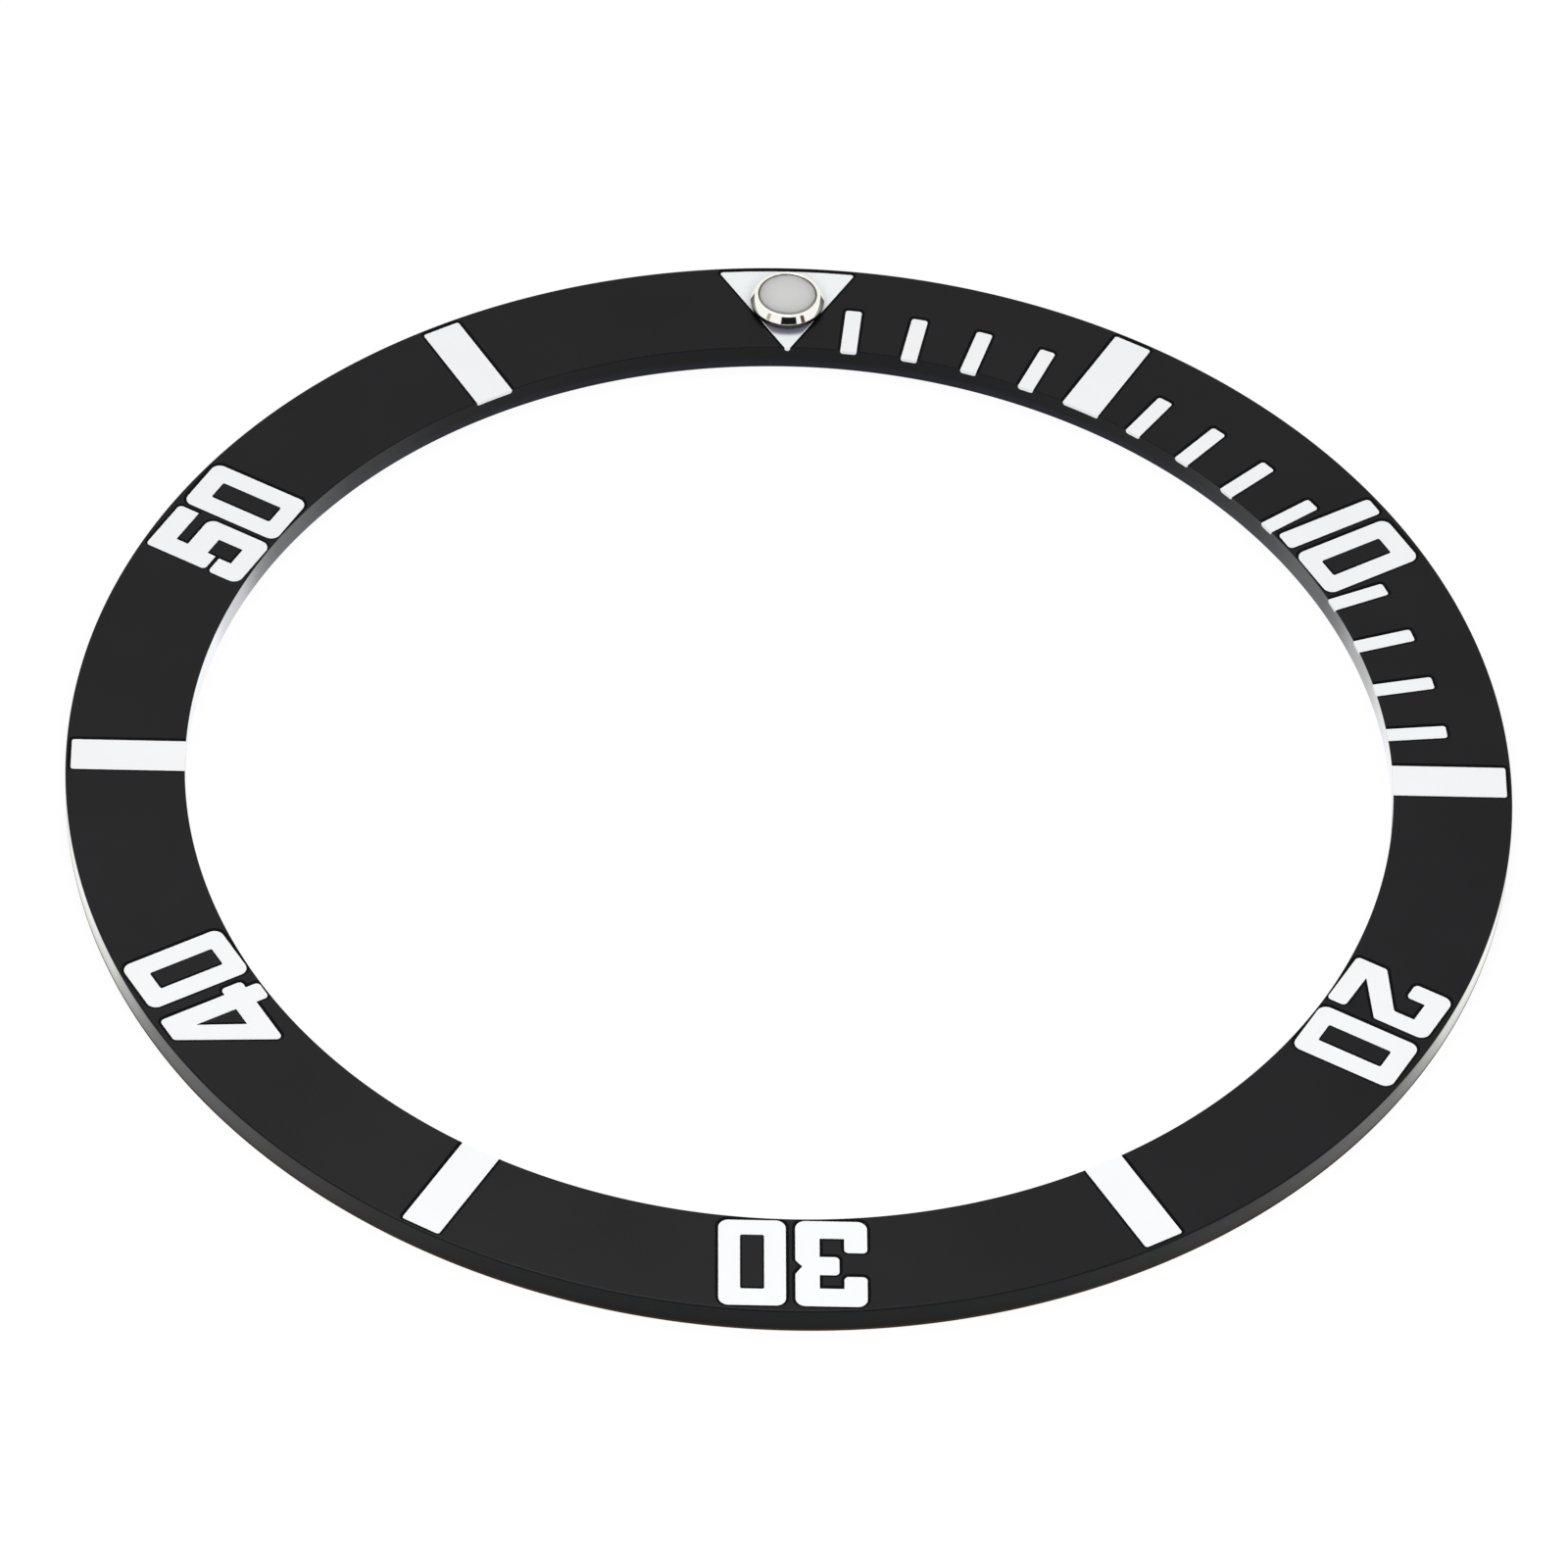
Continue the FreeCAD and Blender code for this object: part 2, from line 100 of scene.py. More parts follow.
class Tree:
    """A material or world node tree with short calls to add and link nodes."""

    def __init__(self, owner):
        owner.use_nodes = True
        self.tree = owner.node_tree
        self.tree.nodes.clear()

    def add(self, kind, inputs=None, **settings):
        node = self.tree.nodes.new(kind)
        for name, value in settings.items():
            setattr(node, name, value)
        for name, value in (inputs or {}).items():
            self.put(node.inputs[name], value)
        return node

    def put(self, socket, value):
        if isinstance(value, bpy.types.NodeSocket):
            self.tree.links.new(value, socket)
        else:
            socket.default_value = value

    def math(self, operation, *values):
        node = self.add("ShaderNodeMath", operation=operation)
        for socket, value in zip(node.inputs, values):
            self.put(socket, value)
        return node.outputs[0]

    def ramp(self, factor, stops):
        node = self.add("ShaderNodeValToRGB", {"Fac": factor})
        elements = node.color_ramp.elements
        while len(elements) < len(stops):
            elements.new(0.5)
        for element, (place, colour) in zip(elements, stops):
            element.position = place
            element.color = rgba(colour)
        return node.outputs["Color"]

    def level(self, factor, stops):
        """A ramp of plain numbers."""
        return self.ramp(factor, [(place, (value,) * 3) for place, value in stops])

    def ramp_over(self, noise, first, second):
        """One colour where the noise is low, another where it is high."""
        return self.ramp(noise, [(NOISE_LOW, first), (NOISE_HIGH, second)])

    def level_over(self, noise, first, second):
        """One number where the noise is low, another where it is high."""
        return self.level(noise, [(NOISE_LOW, first), (NOISE_HIGH, second)])

    def mixed(self, factor, first, second):
        """Two colours mixed by a factor."""
        node = self.add("ShaderNodeMix", data_type="RGBA")
        self.put(node.inputs[MIX_FACTOR], factor)
        self.put(node.inputs[MIX_FIRST], first)
        self.put(node.inputs[MIX_SECOND], second)
        return node.outputs[MIX_RESULT]

    def noise(self, scale, detail, roughness=0.5):
        where = self.add("ShaderNodeTexCoord").outputs["Object"]
        return self.add("ShaderNodeTexNoise", {"Vector": where, "Scale": scale, "Detail": detail,
                                               "Roughness": roughness}).outputs["Fac"]

    def bump(self, height, distance, strength):
        return self.add("ShaderNodeBump", {"Height": height, "Distance": distance,
                                           "Strength": strength}).outputs["Normal"]

    def between(self, value, start, end):
        """0 before start, 1 past end, with a soft passage."""
        return self.add("ShaderNodeMapRange", {"Value": value, "From Min": start, "From Max": end},
                        interpolation_type="SMOOTHSTEP").outputs["Result"]

    def place(self):
        """The three object coordinates."""
        where = self.add("ShaderNodeTexCoord").outputs["Object"]
        return self.add("ShaderNodeSeparateXYZ", {"Vector": where}).outputs

    def round_pearl(self):
        """The distance from the pearl's axis, and how far a point lies in front of it."""
        x, y, _ = self.place()
        ahead = self.math("SUBTRACT", PEARL_Y, y)
        return self.math("SQRT", self.math("MULTIPLY_ADD", x, x, self.math("MULTIPLY", ahead, ahead))), ahead

    def shader(self, kind, inputs):
        return self.add(kind, inputs).outputs[0]

    def mixed_shaders(self, factor, first, second):
        """Two shaders mixed by a factor."""
        node = self.add("ShaderNodeMixShader", {"Fac": factor})
        self.put(node.inputs[1], first)
        self.put(node.inputs[2], second)
        return node.outputs[0]

    def added_shaders(self, first, second):
        node = self.add("ShaderNodeAddShader")
        self.put(node.inputs[0], first)
        self.put(node.inputs[1], second)
        return node.outputs[0]

    def finish(self, surface, kind="ShaderNodeOutputMaterial"):
        self.add(kind, {"Surface": surface})


def linear(red, green, blue):
    """A colour of the screen, 0 to 255, as light."""
    def one(value):
        share = value / 255
        return share / 12.92 if share <= 0.04045 else ((share + 0.055) / 1.055) ** 2.4
    return (one(red), one(green), one(blue))


def rgba(colour):
    return (*colour, 1.0)


# Colours. A pair holds the colour where the noise is low and where it is high

COATING_COLOURS = ((0.0017, 0.0017, 0.0028), (0.0029, 0.0029, 0.0042))
RECESS_COLOURS = ((0.0016, 0.0016, 0.0021), (0.0030, 0.0030, 0.0038))
LOWER_EDGE_COLOURS = ((0.036, 0.019, 0.014), (0.052, 0.028, 0.021))
PAINT_COLOURS = ((0.918, 0.941, 0.962), (0.933, 0.953, 0.972))
TRIANGLE_COLOURS = ((0.930, 0.962, 0.982), (0.945, 0.972, 0.988))
BORDER_COLOURS = ((0.95, 0.965, 0.98), (0.96, 0.975, 0.985))
CUP_COLOUR = (0.93, 0.915, 0.86)
# The foot is the cup's steel painted dark: painted shade on the band below the cup's widest part
CUP_FOOT_SHADE_COLOUR = (0.17, 0.165, 0.155)
# From the middle of the disc to its edge, as colours of the screen
LUME_STOPS = ((0.30, (212, 212, 211)), (0.75, (204, 204, 203)), (0.98, (186, 186, 184)), (1.0, (150, 150, 145)))
LUME_UNEVENNESS = 0.12

# Walls: the heights between which the colours of the foot pass into those above, the shares of silver at the foot
# and at the ring's left end, and how the silver grows with the slant at which the wall is seen. On the outer wall
# the darker, warmer foot with less silver is painted shade; on the inner wall the foot is paler and bluer. The
# changed silver at the left end is a painted reflection.
OUTER_WALL = {
    "low_dark": (0.0035, 0.0028, 0.0024), "high_dark": (0.0055, 0.0062, 0.0070),
    "low_silver": (0.86, 0.84, 0.78), "high_silver": (0.93, 0.955, 0.90),
    "passage": (0.10 * MM, 0.45 * MM), "foot_shade_share": 0.85, "left_reflection_share": 0.97,
    "silver_stops": ((0.40, 0.0), (0.454, 0.006), (0.519, 0.024), (0.573, 0.050), (0.633, 0.085), (0.675, 0.12),
                     (0.695, 0.19), (0.744, 0.44), (0.762, 0.66), (0.815, 0.86), (0.86, 1.0)),
}
INNER_WALL = {
    "low_dark": (0.0130, 0.0140, 0.0220), "high_dark": (0.0066, 0.0068, 0.0082),
    "low_silver": (0.88, 0.92, 0.99), "high_silver": (0.90, 0.93, 0.96),
    "passage": (0.14 * MM, 0.36 * MM), "foot_shade_share": 1.0, "left_reflection_share": 1.6,
    "silver_stops": ((0.42, 0.0), (0.47, 0.017), (0.515, 0.025), (0.58, 0.085), (0.63, 0.095), (0.665, 0.17),
                     (0.70, 0.36), (0.749, 0.45), (0.80, 0.72), (0.88, 1.0), (0.94, 0.95), (0.975, 0.40),
                     (1.0, 0.20)),
}
# Where the painted reflection at the left end is full, and where it has ended
LEFT_REFLECTION_END = (-15.2 * MM, -12.2 * MM)

# Shade on the paint in front of the cup: where it ends, where its front part begins, and its colour
CUP_SHADE_ENDS = (1.09 * MM, 1.25 * MM)
CUP_SHADE_FRONT = (0.35 * MM, 0.80 * MM)
CUP_SHADE = (0.24, 0.245, 0.30)


# Materials

def new_material(name):
    material = bpy.data.materials.new(name)
    return material, Tree(material)


def coating(name):
    """Satin black anodising with fine grain and a little haze."""
    material, t = new_material(name)
    haze = t.noise(scale=260.0, detail=3.0)
    grain = t.noise(scale=26000.0, detail=2.0, roughness=0.6)
    t.finish(t.shader("ShaderNodeBsdfPrincipled", {
        "Base Color": t.ramp_over(haze, *COATING_COLOURS), "Roughness": t.level_over(haze, 0.26, 0.32),
        "Normal": t.bump(grain, distance=0.0006 * MM, strength=0.5), "Specular IOR Level": 0.150}))
    return material


def wall_coating(name, low_dark, high_dark, low_silver, high_silver, passage, foot_shade_share, left_reflection_share, silver_stops):
    """The same black on an upright wall, which turns to silver where it is seen at a slant. The smaller silver share
    at the foot is painted shade, and the changed share at the left end a painted reflection.
    """
    material, t = new_material(name)
    x, _, z = t.place()
    raised = t.between(z, *passage)
    # The silver is scaled down at the foot, a painted shade, and changed at the left end, a painted reflection
    strength = t.math("MULTIPLY", t.math("MULTIPLY_ADD", raised, 1.0 - foot_shade_share, foot_shade_share),
                      t.math("MULTIPLY_ADD", t.between(x, *LEFT_REFLECTION_END), 1.0 - left_reflection_share, left_reflection_share))
    grain = t.noise(scale=26000.0, detail=2.0, roughness=0.6)
    relief = t.bump(grain, distance=0.0004 * MM, strength=0.5)
    dark = t.shader("ShaderNodeBsdfPrincipled", {
        "Base Color": t.mixed(raised, rgba(low_dark), rgba(high_dark)), "Roughness": 0.24, "Normal": relief,
        "Specular IOR Level": 0.1})
    silver = t.shader("ShaderNodeBsdfPrincipled", {
        "Base Color": t.mixed(raised, rgba(low_silver), rgba(high_silver)), "Roughness": 0.2, "Metallic": 1.0,
        "Normal": relief})
    slant = t.add("ShaderNodeLayerWeight", {"Blend": 0.5}).outputs["Facing"]
    share = t.math("MULTIPLY", t.level(slant, silver_stops), strength)
    t.finish(t.mixed_shaders(share, dark, silver))
    return material


def matt_black(name, colours):
    """A dark edge without the coating's sheen."""
    material, t = new_material(name)
    grain = t.noise(scale=30000.0, detail=2.0)
    t.finish(t.shader("ShaderNodeBsdfPrincipled", {
        "Base Color": t.ramp_over(grain, *colours), "Roughness": 0.5, "Specular IOR Level": 0.04}))
    return material


def enamel(name, colours, has_cup_shade=False):
    """White enamel with soft unevenness and tiny pits. The shade is that under the front of the cup."""
    material, t = new_material(name)
    cloud = t.noise(scale=900.0, detail=3.0)
    pits = t.noise(scale=9000.0, detail=4.0, roughness=0.6)
    colour = t.ramp_over(cloud, *colours)
    if has_cup_shade:
        distance, ahead = t.round_pearl()
        clear = t.between(distance, *CUP_SHADE_ENDS)
        front = t.between(ahead, *CUP_SHADE_FRONT)
        colour = t.mixed(t.math("MULTIPLY", t.math("SUBTRACT", 1.0, clear), front), colour, rgba(CUP_SHADE))
    t.finish(t.shader("ShaderNodeBsdfPrincipled", {
        "Base Color": colour, "Roughness": t.level_over(pits, 0.34, 0.46),
        "Normal": t.bump(pits, distance=0.001 * MM, strength=0.6), "Specular IOR Level": 0.2}))
    return material


def steel(name, colour, gloss_range):
    """Warm steel with faint turning marks."""
    material, t = new_material(name)
    marks = t.noise(scale=7000.0, detail=3.0)
    t.finish(t.shader("ShaderNodeBsdfPrincipled", {
        "Base Color": rgba(colour), "Roughness": t.level_over(marks, *gloss_range), "Metallic": 1.0,
        "Normal": t.bump(marks, distance=0.0006 * MM, strength=0.4)}))
    return material


def lume():
    """Satin pale grey filling with a fine grain, darker towards its edge."""
    material, t = new_material("lume")
    grain = t.noise(scale=16000.0, detail=5.0, roughness=0.7)
    cloud = t.noise(scale=2200.0, detail=2.0)
    distance, _ = t.round_pearl()
    share = t.math("ADD", t.math("DIVIDE", distance, LUME_RADIUS), t.math("MULTIPLY", cloud, LUME_UNEVENNESS))
    t.finish(t.shader("ShaderNodeBsdfPrincipled", {
        "Base Color": t.ramp(share, [(place, linear(*shade)) for place, shade in LUME_STOPS]), "Roughness": 0.5,
        "Specular IOR Level": 0.3, "Normal": t.bump(grain, distance=0.0015 * MM, strength=0.5)}))
    return material


# Outlines of the marks, read from the tops of their CAD solids

SAME = 1e-8
NEAR_TOP = 1e-6
AT_WALL = 0.005 * MM
# Two edges whose directions have this cosine or more between them are one
STRAIGHT = 0.99999
EYE_SHARE = 0.56
NARROW_SHARE = 0.68


class Outline:
    """A closed line round paint, which is on its left. Where a mark is open at the bore, its first edge lies past
    the bore wall and stays there when the others move. Moves away from the paint are scaled by out_share, or by
    EYE_SHARE round the eye of a digit."""

    def __init__(self, points, is_open, out_share):
        self.points = points
        self.is_open = is_open
        edges = list(zip(points, points[1:] + points[:1]))
        self.normals = [Vector((end.y - start.y, start.x - end.x)).normalized() for start, end in edges]
        is_eye = sum(start.x * end.y - end.x * start.y for start, end in edges) < 0
        self.out_share = EYE_SHARE if is_eye else out_share

    def moved_out(self, distance):
        if distance > 0:
            distance *= self.out_share
        shifts = [distance] * len(self.points)
        if self.is_open:
            shifts[0] = 0.0
        moved = []
        for index, point in enumerate(self.points):
            before, after = self.normals[index - 1], self.normals[index]
            first, second = shifts[index - 1], shifts[index]
            turn = before.dot(after)
            if first == second:
                move = (before + after) * (first / (1 + turn))
            else:
                move = (before * (first - turn * second) + after * (second - turn * first)) / (1 - turn * turn)
            moved.append(point + move)
        return moved


def top_loops(name):
    """The closed lines round the top of a node."""
    mesh = nodes[name].data
    top = max(vertex.co.z for vertex in mesh.vertices)

    def key(index):
        point = mesh.vertices[index].co
        return (round(point.x / SAME), round(point.y / SAME))

    sides = set()
    for face in mesh.polygons:
        if all(mesh.vertices[index].co.z > top - NEAR_TOP for index in face.vertices):
            corners = [key(index) for index in face.vertices]
            sides.update(zip(corners, corners[1:] + corners[:1]))
    following = {start: end for start, end in sides if (end, start) not in sides}
    loops = []
    while following:
        start = min(following)
        loop, point = [], start
        while point in following:
            loop.append(Vector((point[0] * SAME, point[1] * SAME)))
            point = following.pop(point)
        loops.append(without_straight_points(loop))
    return loops


def without_straight_points(loop):
    kept = []
    for index, point in enumerate(loop):
        before = (point - loop[index - 1]).normalized()
        after = (loop[(index + 1) % len(loop)] - point).normalized()
        if before.dot(after) < STRAIGHT:
            kept.append(point)
    return kept


def outline(loop, reach, out_share=1.0):
    """A mark that ends at the bore wall is carried on past it."""
    at_wall = [point.length < BORE_RADIUS + AT_WALL for point in loop]
    if not any(at_wall):
        return Outline(loop, False, out_share)
    first = next(i for i in range(len(loop)) if at_wall[i] and not at_wall[i - 1])
    turned = loop[first:] + loop[:first]
    wall_count = sum(at_wall)
    sides = turned[wall_count:]
    entry, leave = turned[0], turned[wall_count - 1]
    entry_step = (entry - sides[-1]).normalized() * reach
    leave_step = (leave - sides[0]).normalized() * reach
    return Outline([entry + entry_step, leave + leave_step] + sides, True, out_share)


# Solids

def layered(bm, outlines, levels, slots, top_slot, shrink):
    """Closed solid from outlines at rising levels of (height, how far the outline is moved out).
    Moves towards the paint are scaled by shrink."""
    rows = []
    for height, distance in levels:
        distance *= shrink if distance < 0 else 1
        rows.append([[bm.verts.new((*point, height)) for point in line.moved_out(distance)] for line in outlines])
    for lower, upper, slot in zip(rows, rows[1:], slots):
        for low, high in zip(lower, upper):
            for index in range(len(low)):
                face = bm.faces.new((low[index - 1], low[index], high[index], high[index - 1]))
                face.material_index = slot
    for row, faces_down, slot in ((rows[0], True, slots[0]), (rows[-1], False, top_slot)):
        verts = [vert for loop in row for vert in loop]
        for corners in tessellate_polygon([[vert.co for vert in loop] for loop in row]):
            triangle = [verts[index] for index in corners]
            normal = (triangle[1].co - triangle[0].co).cross(triangle[2].co - triangle[0].co)
            if (normal.z > 0) == faces_down:
                triangle.reverse()
            face = bm.faces.new(triangle)
            face.material_index = slot


def lathed(bm, profile, slots, count, axis_y=0.0):
    """Turns a section of (radius, height) round an upright axis, anticlockwise in the section's plane.
    It closes on itself, or ends in poles where its first and last radius are zero."""
    rings = []
    for radius, height in profile:
        if radius == 0.0:
            rings.append([bm.verts.new((0.0, axis_y, height))])
            continue
        angles = [2 * math.pi * step / count for step in range(count)]
        rings.append([bm.verts.new((radius * math.cos(angle), axis_y + radius * math.sin(angle), height))
                      for angle in angles])
    pairs = list(zip(rings, rings[1:]))
    if profile[0][0] > 0.0:
        pairs.append((rings[-1], rings[0]))
    for (low, high), slot in zip(pairs, slots):
        for step in range(count):
            ahead = (step + 1) % count
            corners = (low[step % len(low)], low[ahead % len(low)], high[ahead % len(high)], high[step % len(high)])
            face = bm.faces.new(dict.fromkeys(corners))
            face.material_index = slot


def rounded(corner, start, end):
    """Points of a soft corner from start to end, pulled towards the corner."""
    points = []
    for step in range(ROUND_STEPS + 1):
        share = step / ROUND_STEPS
        keep = (1 - share) ** 2, 2 * share * (1 - share), share ** 2
        points.append(tuple(keep[0] * start[i] + keep[1] * corner[i] + keep[2] * end[i] for i in (0, 1)))
    return points


def new_object(name, bm, materials):
    mesh = bpy.data.meshes.new(name)
    bm.to_mesh(mesh)
    bm.free()
    for material in materials:
        mesh.materials.append(material)
    made = bpy.data.objects.new(name, mesh)
    bpy.context.scene.collection.objects.link(made)
    return made


def cylinder(name, radius, slot, count, axis_y, materials):
    """A tool to cut with, which runs clear of the ring at both ends."""
    bm = bmesh.new()
    low, high = -CUT_PAST, RING_TOP + CUT_PAST
    lathed(bm, [(0.0, low), (radius, low), (radius, high), (0.0, high)], [slot] * 3, count, axis_y)
    return new_object(name, bm, materials)


def cut(target, cutter):
    """Takes the cutter's space out of the target for good."""
    modifier = target.modifiers.new("cut", "BOOLEAN")
    modifier.operation = "DIFFERENCE"
    modifier.solver = "EXACT"
    modifier.material_mode = "TRANSFER"
    modifier.object = cutter
    bpy.context.view_layer.update()
    result = bpy.data.meshes.new_from_object(target.evaluated_get(bpy.context.evaluated_depsgraph_get()))
    target.modifiers.clear()
    target.data = result


def smooth(piece, sharp_degrees):
    piece.data.polygons.foreach_set("use_smooth", [True] * len(piece.data.polygons))
    piece.data.set_sharp_from_angle(angle=math.radians(sharp_degrees))


def discard(thing):
    bpy.data.objects.remove(thing)


# Ring and marks

ROUND_COUNT = 720
CUT_PAST = 1 * MM
TOP_ROUND = 0.05 * MM
BOTTOM_ROUND = 0.045 * MM
BORE_ROUND = 0.035 * MM
LOWER_EDGE_TOP = 0.10 * MM
ROUND_STEPS = 5
RING_SHARP_DEGREES = 3
PAST_WALL = 0.12 * MM
TRIANGLE_PAST_WALL = 0.03 * MM
TRIANGLE_SHRINK = 0.6
TRIANGLE_PULL = 0.04 * MM
TRIANGLE_PULL_ZONE = 0.45 * MM
MENISCUS = 0.004 * MM
BORDER = 0.05 * MM
BORDER_BEND = 0.4
# Material slots of the ring, of the marks and of the cup
TOP, OUTER, INNER, RECESS, LOWER_EDGE = range(5)
PAINT, PAINT_BORDER = range(2)
POLISHED, SHADED_SATIN = range(2)

# Heights are above the recess floor, moves are away from the paint
FLOOR_LEVELS = [(FILL_FLOOR + rise * MM, move * MM) for rise, move in
                ((0.0, -0.065), (0.012, -0.036), (0.035, -0.012), (0.07, 0.0))]
# Depths are below the top face; the last level runs clear of it
LIP_LEVELS = [(RING_TOP - drop * MM, move * MM) for drop, move in
              ((0.016, 0.006), (0.009, 0.030), (0.004, 0.066), (-0.0005, 0.084))]
PAINT_LEVELS = [(FILL_TOP + MENISCUS, 0.0), (FILL_TOP + BORDER_BEND * MENISCUS, -BORDER_BEND * BORDER),
                (FILL_TOP, -BORDER)]


def pulled_in(point):
    """Widens the black line between the triangle and the rim."""
    share = 1 - (RIM_RADIUS - point.length) / TRIANGLE_PULL_ZONE
    return point * (1 - max(share, 0.0) * TRIANGLE_PULL / point.length)


def mark_outlines():
    """Each mark's outlines with the share to which moves towards the paint are scaled."""
    marks = {}
    for name in sorted(nodes):
        if name == "triangle_inlay":
            # The longest line is the triangle's own; the other goes round the pearl's stem
            loops = sorted(top_loops(name), key=lambda loop: max((point - loop[0]).length for point in loop))
            loop = [pulled_in(point) for point in loops[-1]]
            marks[name] = ([outline(loop, TRIANGLE_PAST_WALL)], TRIANGLE_SHRINK)
        elif "inlay" in name or "numeral" in name:
            # The gap in the five is too narrow for lips of full width
            out_share = NARROW_SHARE if name.endswith("five") else 1.0
            marks[name] = ([outline(loop, PAST_WALL, out_share) for loop in top_loops(name)], 1.0)
    return marks


def cutting_groups(marks):
    """Marks side by side may share a lip, so neighbours are cut one after the other, in different groups."""
    zeros = [name for name in marks if name.endswith("zero")]
    tens = [name for name in marks if name.startswith("numeral") and name not in zeros]
    ticks = [name for name in marks if name.startswith("tick")]
    return zeros, tens, ticks, [name for name in marks if name not in zeros + tens + ticks]


def ring_profile():
    """The section from the underside at the rim, with the material slot of each stretch."""
    top, rim, bore = RING_TOP, RIM_RADIUS, BORE_RADIUS
    points = rounded((rim, 0.0), (rim - BOTTOM_ROUND, 0.0), (rim, BOTTOM_ROUND))
    points.append((rim, LOWER_EDGE_TOP))
    slots = [LOWER_EDGE] * (ROUND_STEPS + 1) + [OUTER]
    corners = [
        ((rim, top), (rim, top - TOP_ROUND), (rim - TOP_ROUND, top), TOP, TOP),
        ((bore, top), (bore + BORE_ROUND, top), (bore, top - BORE_ROUND), TOP, INNER),
        ((bore, 0.0), (bore, BORE_ROUND), (bore + BORE_ROUND, 0.0), INNER, TOP),
    ]
    for corner, start, end, slot, next_slot in corners:
        points += rounded(corner, start, end)
        slots += [slot] * ROUND_STEPS + [next_slot]
    return points, slots


def stem_drill(materials):
    return cylinder("stem_drill", STEM_RADIUS, RECESS, PEARL_COUNT, PEARL_Y, materials)


def recess_cutter(marks, names, materials):
    bm = bmesh.new()
    levels = FLOOR_LEVELS + LIP_LEVELS
    for name in names:
        outlines, shrink = marks[name]
        layered(bm, outlines, levels, [RECESS] * (len(levels) - 1), RECESS, shrink)
    return new_object("recess_cutter", bm, materials)


def add_ring(marks):
    materials = [coating("ring_top"), wall_coating("ring_outer", **OUTER_WALL),
                 wall_coating("ring_inner", **INNER_WALL), matt_black("recess_black", RECESS_COLOURS),
                 matt_black("lower_edge", LOWER_EDGE_COLOURS)]
    bm = bmesh.new()
    lathed(bm, *ring_profile(), ROUND_COUNT)
    ring = new_object("ring_body", bm, materials)
    cutters = [recess_cutter(marks, names, materials) for names in cutting_groups(marks)]
    for cutter in cutters + [stem_drill(materials)]:
        cut(ring, cutter)
        discard(cutter)
    smooth(ring, RING_SHARP_DEGREES)
    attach(ring, "root")
    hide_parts("insert_ring")


def add_marks(marks):
    border = enamel("mark_paint_border", BORDER_COLOURS)
    materials = [enamel("mark_paint", PAINT_COLOURS), border]
    triangle_materials = [enamel("triangle_paint", TRIANGLE_COLOURS, has_cup_shade=True), border]
    plug = cylinder("bore_plug", BORE_RADIUS, PAINT, ROUND_COUNT, 0.0, materials)
    drill = stem_drill(materials)
    levels = FLOOR_LEVELS + PAINT_LEVELS
    slots = [PAINT_BORDER] * (len(levels) - 1)
    for name, (outlines, shrink) in marks.items():
        bm = bmesh.new()
        layered(bm, outlines, levels, slots, PAINT, shrink)
        mark = new_object("paint_" + name, bm, triangle_materials if name == "triangle_inlay" else materials)
        if outlines[0].is_open:
            cut(mark, plug)
        if name == "triangle_inlay":
            cut(mark, drill)
        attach(mark, "root")
        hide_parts(name)
    discard(plug)
    discard(drill)


# Pearl

PEARL_COUNT = 128
PEARL_SHARP_DEGREES = 38
PEARL_Y = (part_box("pearl_lume")[0][1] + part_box("pearl_lume")[1][1]) / 2
LUME_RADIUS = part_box("pearl_lume")[1][0]
STEM_RADIUS = max(vertex.co.xy.length for vertex in nodes["pearl_cup"].data.vertices
                  if vertex.co.z < FILL_FLOOR) - PEARL_Y
STEM_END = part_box("pearl_cup")[0][2]
CUP_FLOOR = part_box("pearl_lume")[0][2]

# Sections of (radius, height) in millimetres, above the top face for the cup and above the cup's floor for the disc
CUP_FOOT_SECTION = (
    (0.945, 0.0), (0.962, 0.003), (0.972, 0.012), (0.976, 0.026), (0.974, 0.058), (0.972, 0.090), (0.975, 0.122),
    (0.984, 0.144), (0.995, 0.157))
CUP_SECTION = (
    (1.002, 0.166), (1.0047, 0.175), (1.0035, 0.184), (0.9995, 0.193), (0.902, 0.360), (0.894, 0.3705),
    (0.884, 0.3785), (0.872, 0.3845), (0.859, 0.3880), (0.845, 0.3897), (0.830, 0.390), (0.820, 0.3895),
    (0.811, 0.387), (0.804, 0.381), (0.800, 0.371), (0.796, 0.345), (0.790, 0.325))
CUP_SEAT_TOP = 0.30
DISC_WALL_TOP = 0.17
DISC_SECTION = (
    (0.772, 0.235), (0.768, 0.248), (0.760, 0.258), (0.745, 0.264), (0.70, 0.268), (0.60, 0.2715), (0.45, 0.275),
    (0.28, 0.2775), (0.12, 0.2788), (0.0, 0.279))


def add_turned(name, node, section, face_slots, materials):
    bm = bmesh.new()
    lathed(bm, section, face_slots, PEARL_COUNT, PEARL_Y)
    piece = new_object(name, bm, materials)
    smooth(piece, PEARL_SHARP_DEGREES)
    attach(piece, "root")
    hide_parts(node)


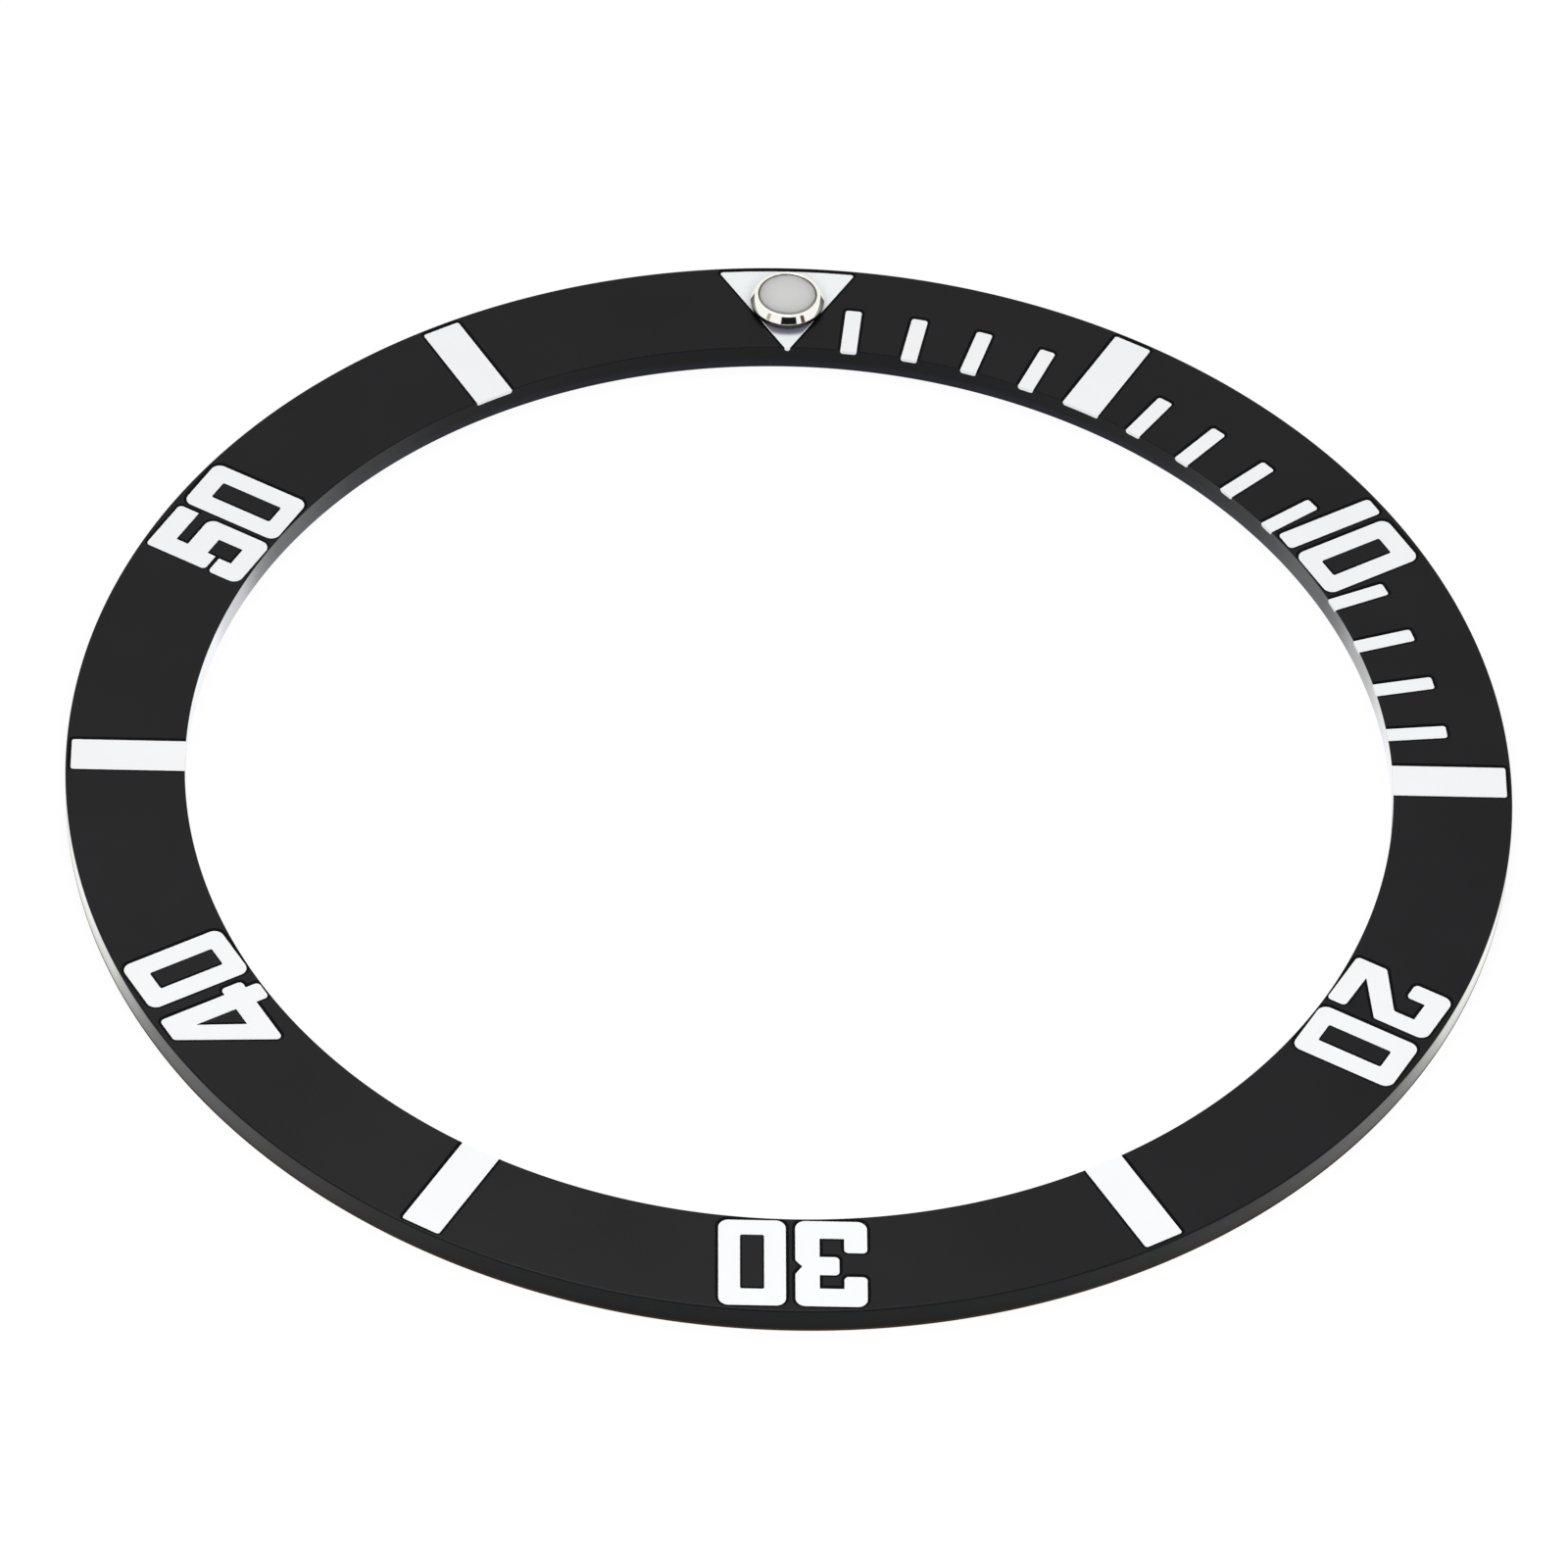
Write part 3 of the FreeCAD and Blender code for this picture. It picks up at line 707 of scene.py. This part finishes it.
def add_pearl():
    cup = [(0.0, STEM_END), (STEM_RADIUS, STEM_END), (STEM_RADIUS, RING_TOP)]
    foot_count = len(cup) + len(CUP_FOOT_SECTION)
    cup += [(radius * MM, RING_TOP + height * MM) for radius, height in CUP_FOOT_SECTION + CUP_SECTION]
    cup += [(LUME_RADIUS, RING_TOP + CUP_SEAT_TOP * MM), (LUME_RADIUS, CUP_FLOOR), (0.0, CUP_FLOOR)]
    # The foot below the cup's widest part takes the dark steel, a painted shade
    face_slots = [SHADED_SATIN] * foot_count + [POLISHED] * (len(cup) - foot_count)
    add_turned("polished_cup", "pearl_cup", cup, face_slots,
               [steel("cup_metal", CUP_COLOUR, (0.03, 0.07)), steel("cup_foot_painted_shade", CUP_FOOT_SHADE_COLOUR, (0.30, 0.40))])
    disc = [(0.0, CUP_FLOOR), (LUME_RADIUS, CUP_FLOOR), (LUME_RADIUS, CUP_FLOOR + DISC_WALL_TOP * MM)]
    disc += [(radius * MM, CUP_FLOOR + height * MM) for radius, height in DISC_SECTION]
    add_turned("lume_disc", "pearl_lume", disc, [0] * len(disc), [lume()])


# Floor, background and light

FLOOR_HALF = 1500 * MM
# The floor and the ring's underside don't share a plane
FLOOR_DROP = 0.005 * MM
# The floor that the lamps light, and the one that is seen: a glow with a little colour, which shows the shadow
FLOOR_PALE = (0.8, 0.8, 0.8)
FLOOR_GLOW = 0.90
FLOOR_SHOWN = (0.13, 0.13, 0.13)
SKY_STRENGTH = 0.70

# Darker things that stand about the table and show only in the polished cup: the turn from the camera's side in
# degrees, the height in degrees, and the colour
REFLECTED = (
    ((-17, 27), (-4, 34), (0.01, 0.01, 0.01)),
    ((40, 51), (-4, 34), (0.10, 0.07, 0.055)),
    ((-60, -50), (6, 24), (0.45, 0.43, 0.36)),
)
REFLECTED_SOFTNESS = 1.5


def shown_ray(t):
    """1 for rays from the camera, reflections and see-through paths."""
    path = t.add("ShaderNodeLightPath")
    seen = t.math("MAXIMUM", path.outputs["Is Camera Ray"], path.outputs["Is Glossy Ray"])
    return t.math("MAXIMUM", seen, path.outputs["Is Transmission Ray"])


def add_floor():
    half = FLOOR_HALF
    mesh = bpy.data.meshes.new("floor")
    mesh.from_pydata([(-half, -half, 0.0), (half, -half, 0.0), (half, half, 0.0), (-half, half, 0.0)], [],
                     [(0, 1, 2, 3)])
    floor = bpy.data.objects.new("floor", mesh)
    bpy.context.scene.collection.objects.link(floor)
    floor.location.z = -FLOOR_DROP
    material, t = new_material("floor")
    pale = t.shader("ShaderNodeBsdfDiffuse", {"Color": rgba(FLOOR_PALE)})
    shown = t.shader("ShaderNodeBsdfDiffuse", {"Color": rgba(FLOOR_SHOWN)})
    glow = t.shader("ShaderNodeEmission", {"Color": rgba(WHITE), "Strength": FLOOR_GLOW})
    t.finish(t.mixed_shaders(shown_ray(t), pale, t.added_shaders(shown, glow)))
    mesh.materials.append(material)


def add_sky():
    world = bpy.data.worlds.new("sky")
    bpy.context.scene.world = world
    t = Tree(world)
    soft = t.shader("ShaderNodeBackground", {"Color": rgba(WHITE), "Strength": SKY_STRENGTH})
    white = t.shader("ShaderNodeBackground", {"Color": reflected_surroundings(t), "Strength": 1.0})
    t.finish(t.mixed_shaders(shown_ray(t), soft, white), "ShaderNodeOutputWorld")


def reflected_surroundings(t):
    """White, with the darker things in reflections alone."""
    way = t.add("ShaderNodeTexCoord").outputs["Generated"]
    x, y, z = t.add("ShaderNodeSeparateXYZ", {"Vector": way}).outputs
    turn = t.math("DEGREES", t.math("ARCTAN2", x, t.math("MULTIPLY", y, -1.0)))
    height = t.math("DEGREES", t.math("ARCSINE", z))
    glossy = t.add("ShaderNodeLightPath").outputs["Is Glossy Ray"]
    colour = rgba(WHITE)
    for turns, heights, shade in REFLECTED:
        inside = glossy
        for value, (low, high) in ((turn, turns), (height, heights)):
            past_low = t.between(value, low - REFLECTED_SOFTNESS, low + REFLECTED_SOFTNESS)
            past_high = t.between(value, high - REFLECTED_SOFTNESS, high + REFLECTED_SOFTNESS)
            inside = t.math("MULTIPLY", inside, t.math("SUBTRACT", past_low, past_high))
        colour = t.mixed(inside, colour, rgba(shade))
    return colour


def add_softbox(name, place, size, power, colour, is_reflected):
    data = bpy.data.lights.new(name, "AREA")
    data.shape = "DISK"
    data.size = size
    data.energy = power
    data.color = colour
    lamp = bpy.data.objects.new(name, data)
    bpy.context.scene.collection.objects.link(lamp)
    lamp.location = place
    lamp.rotation_euler = Vector(place).to_track_quat("Z", "Y").to_euler()
    lamp.visible_camera = False
    lamp.visible_glossy = is_reflected


add_camera()
add_floor()
add_sky()
add_softbox("near_softbox", place=(0.0, -70 * MM, 60 * MM), size=60 * MM, power=0.0215, colour=(1.0, 0.97, 0.93),
            is_reflected=False)
add_softbox("far_softbox", place=(-14 * MM, 88 * MM, 200 * MM), size=60 * MM, power=0.062, colour=WHITE,
            is_reflected=True)

marks = mark_outlines()
add_ring(marks)
add_marks(marks)
add_pearl()

bpy.context.scene.view_settings.view_transform = "Standard"
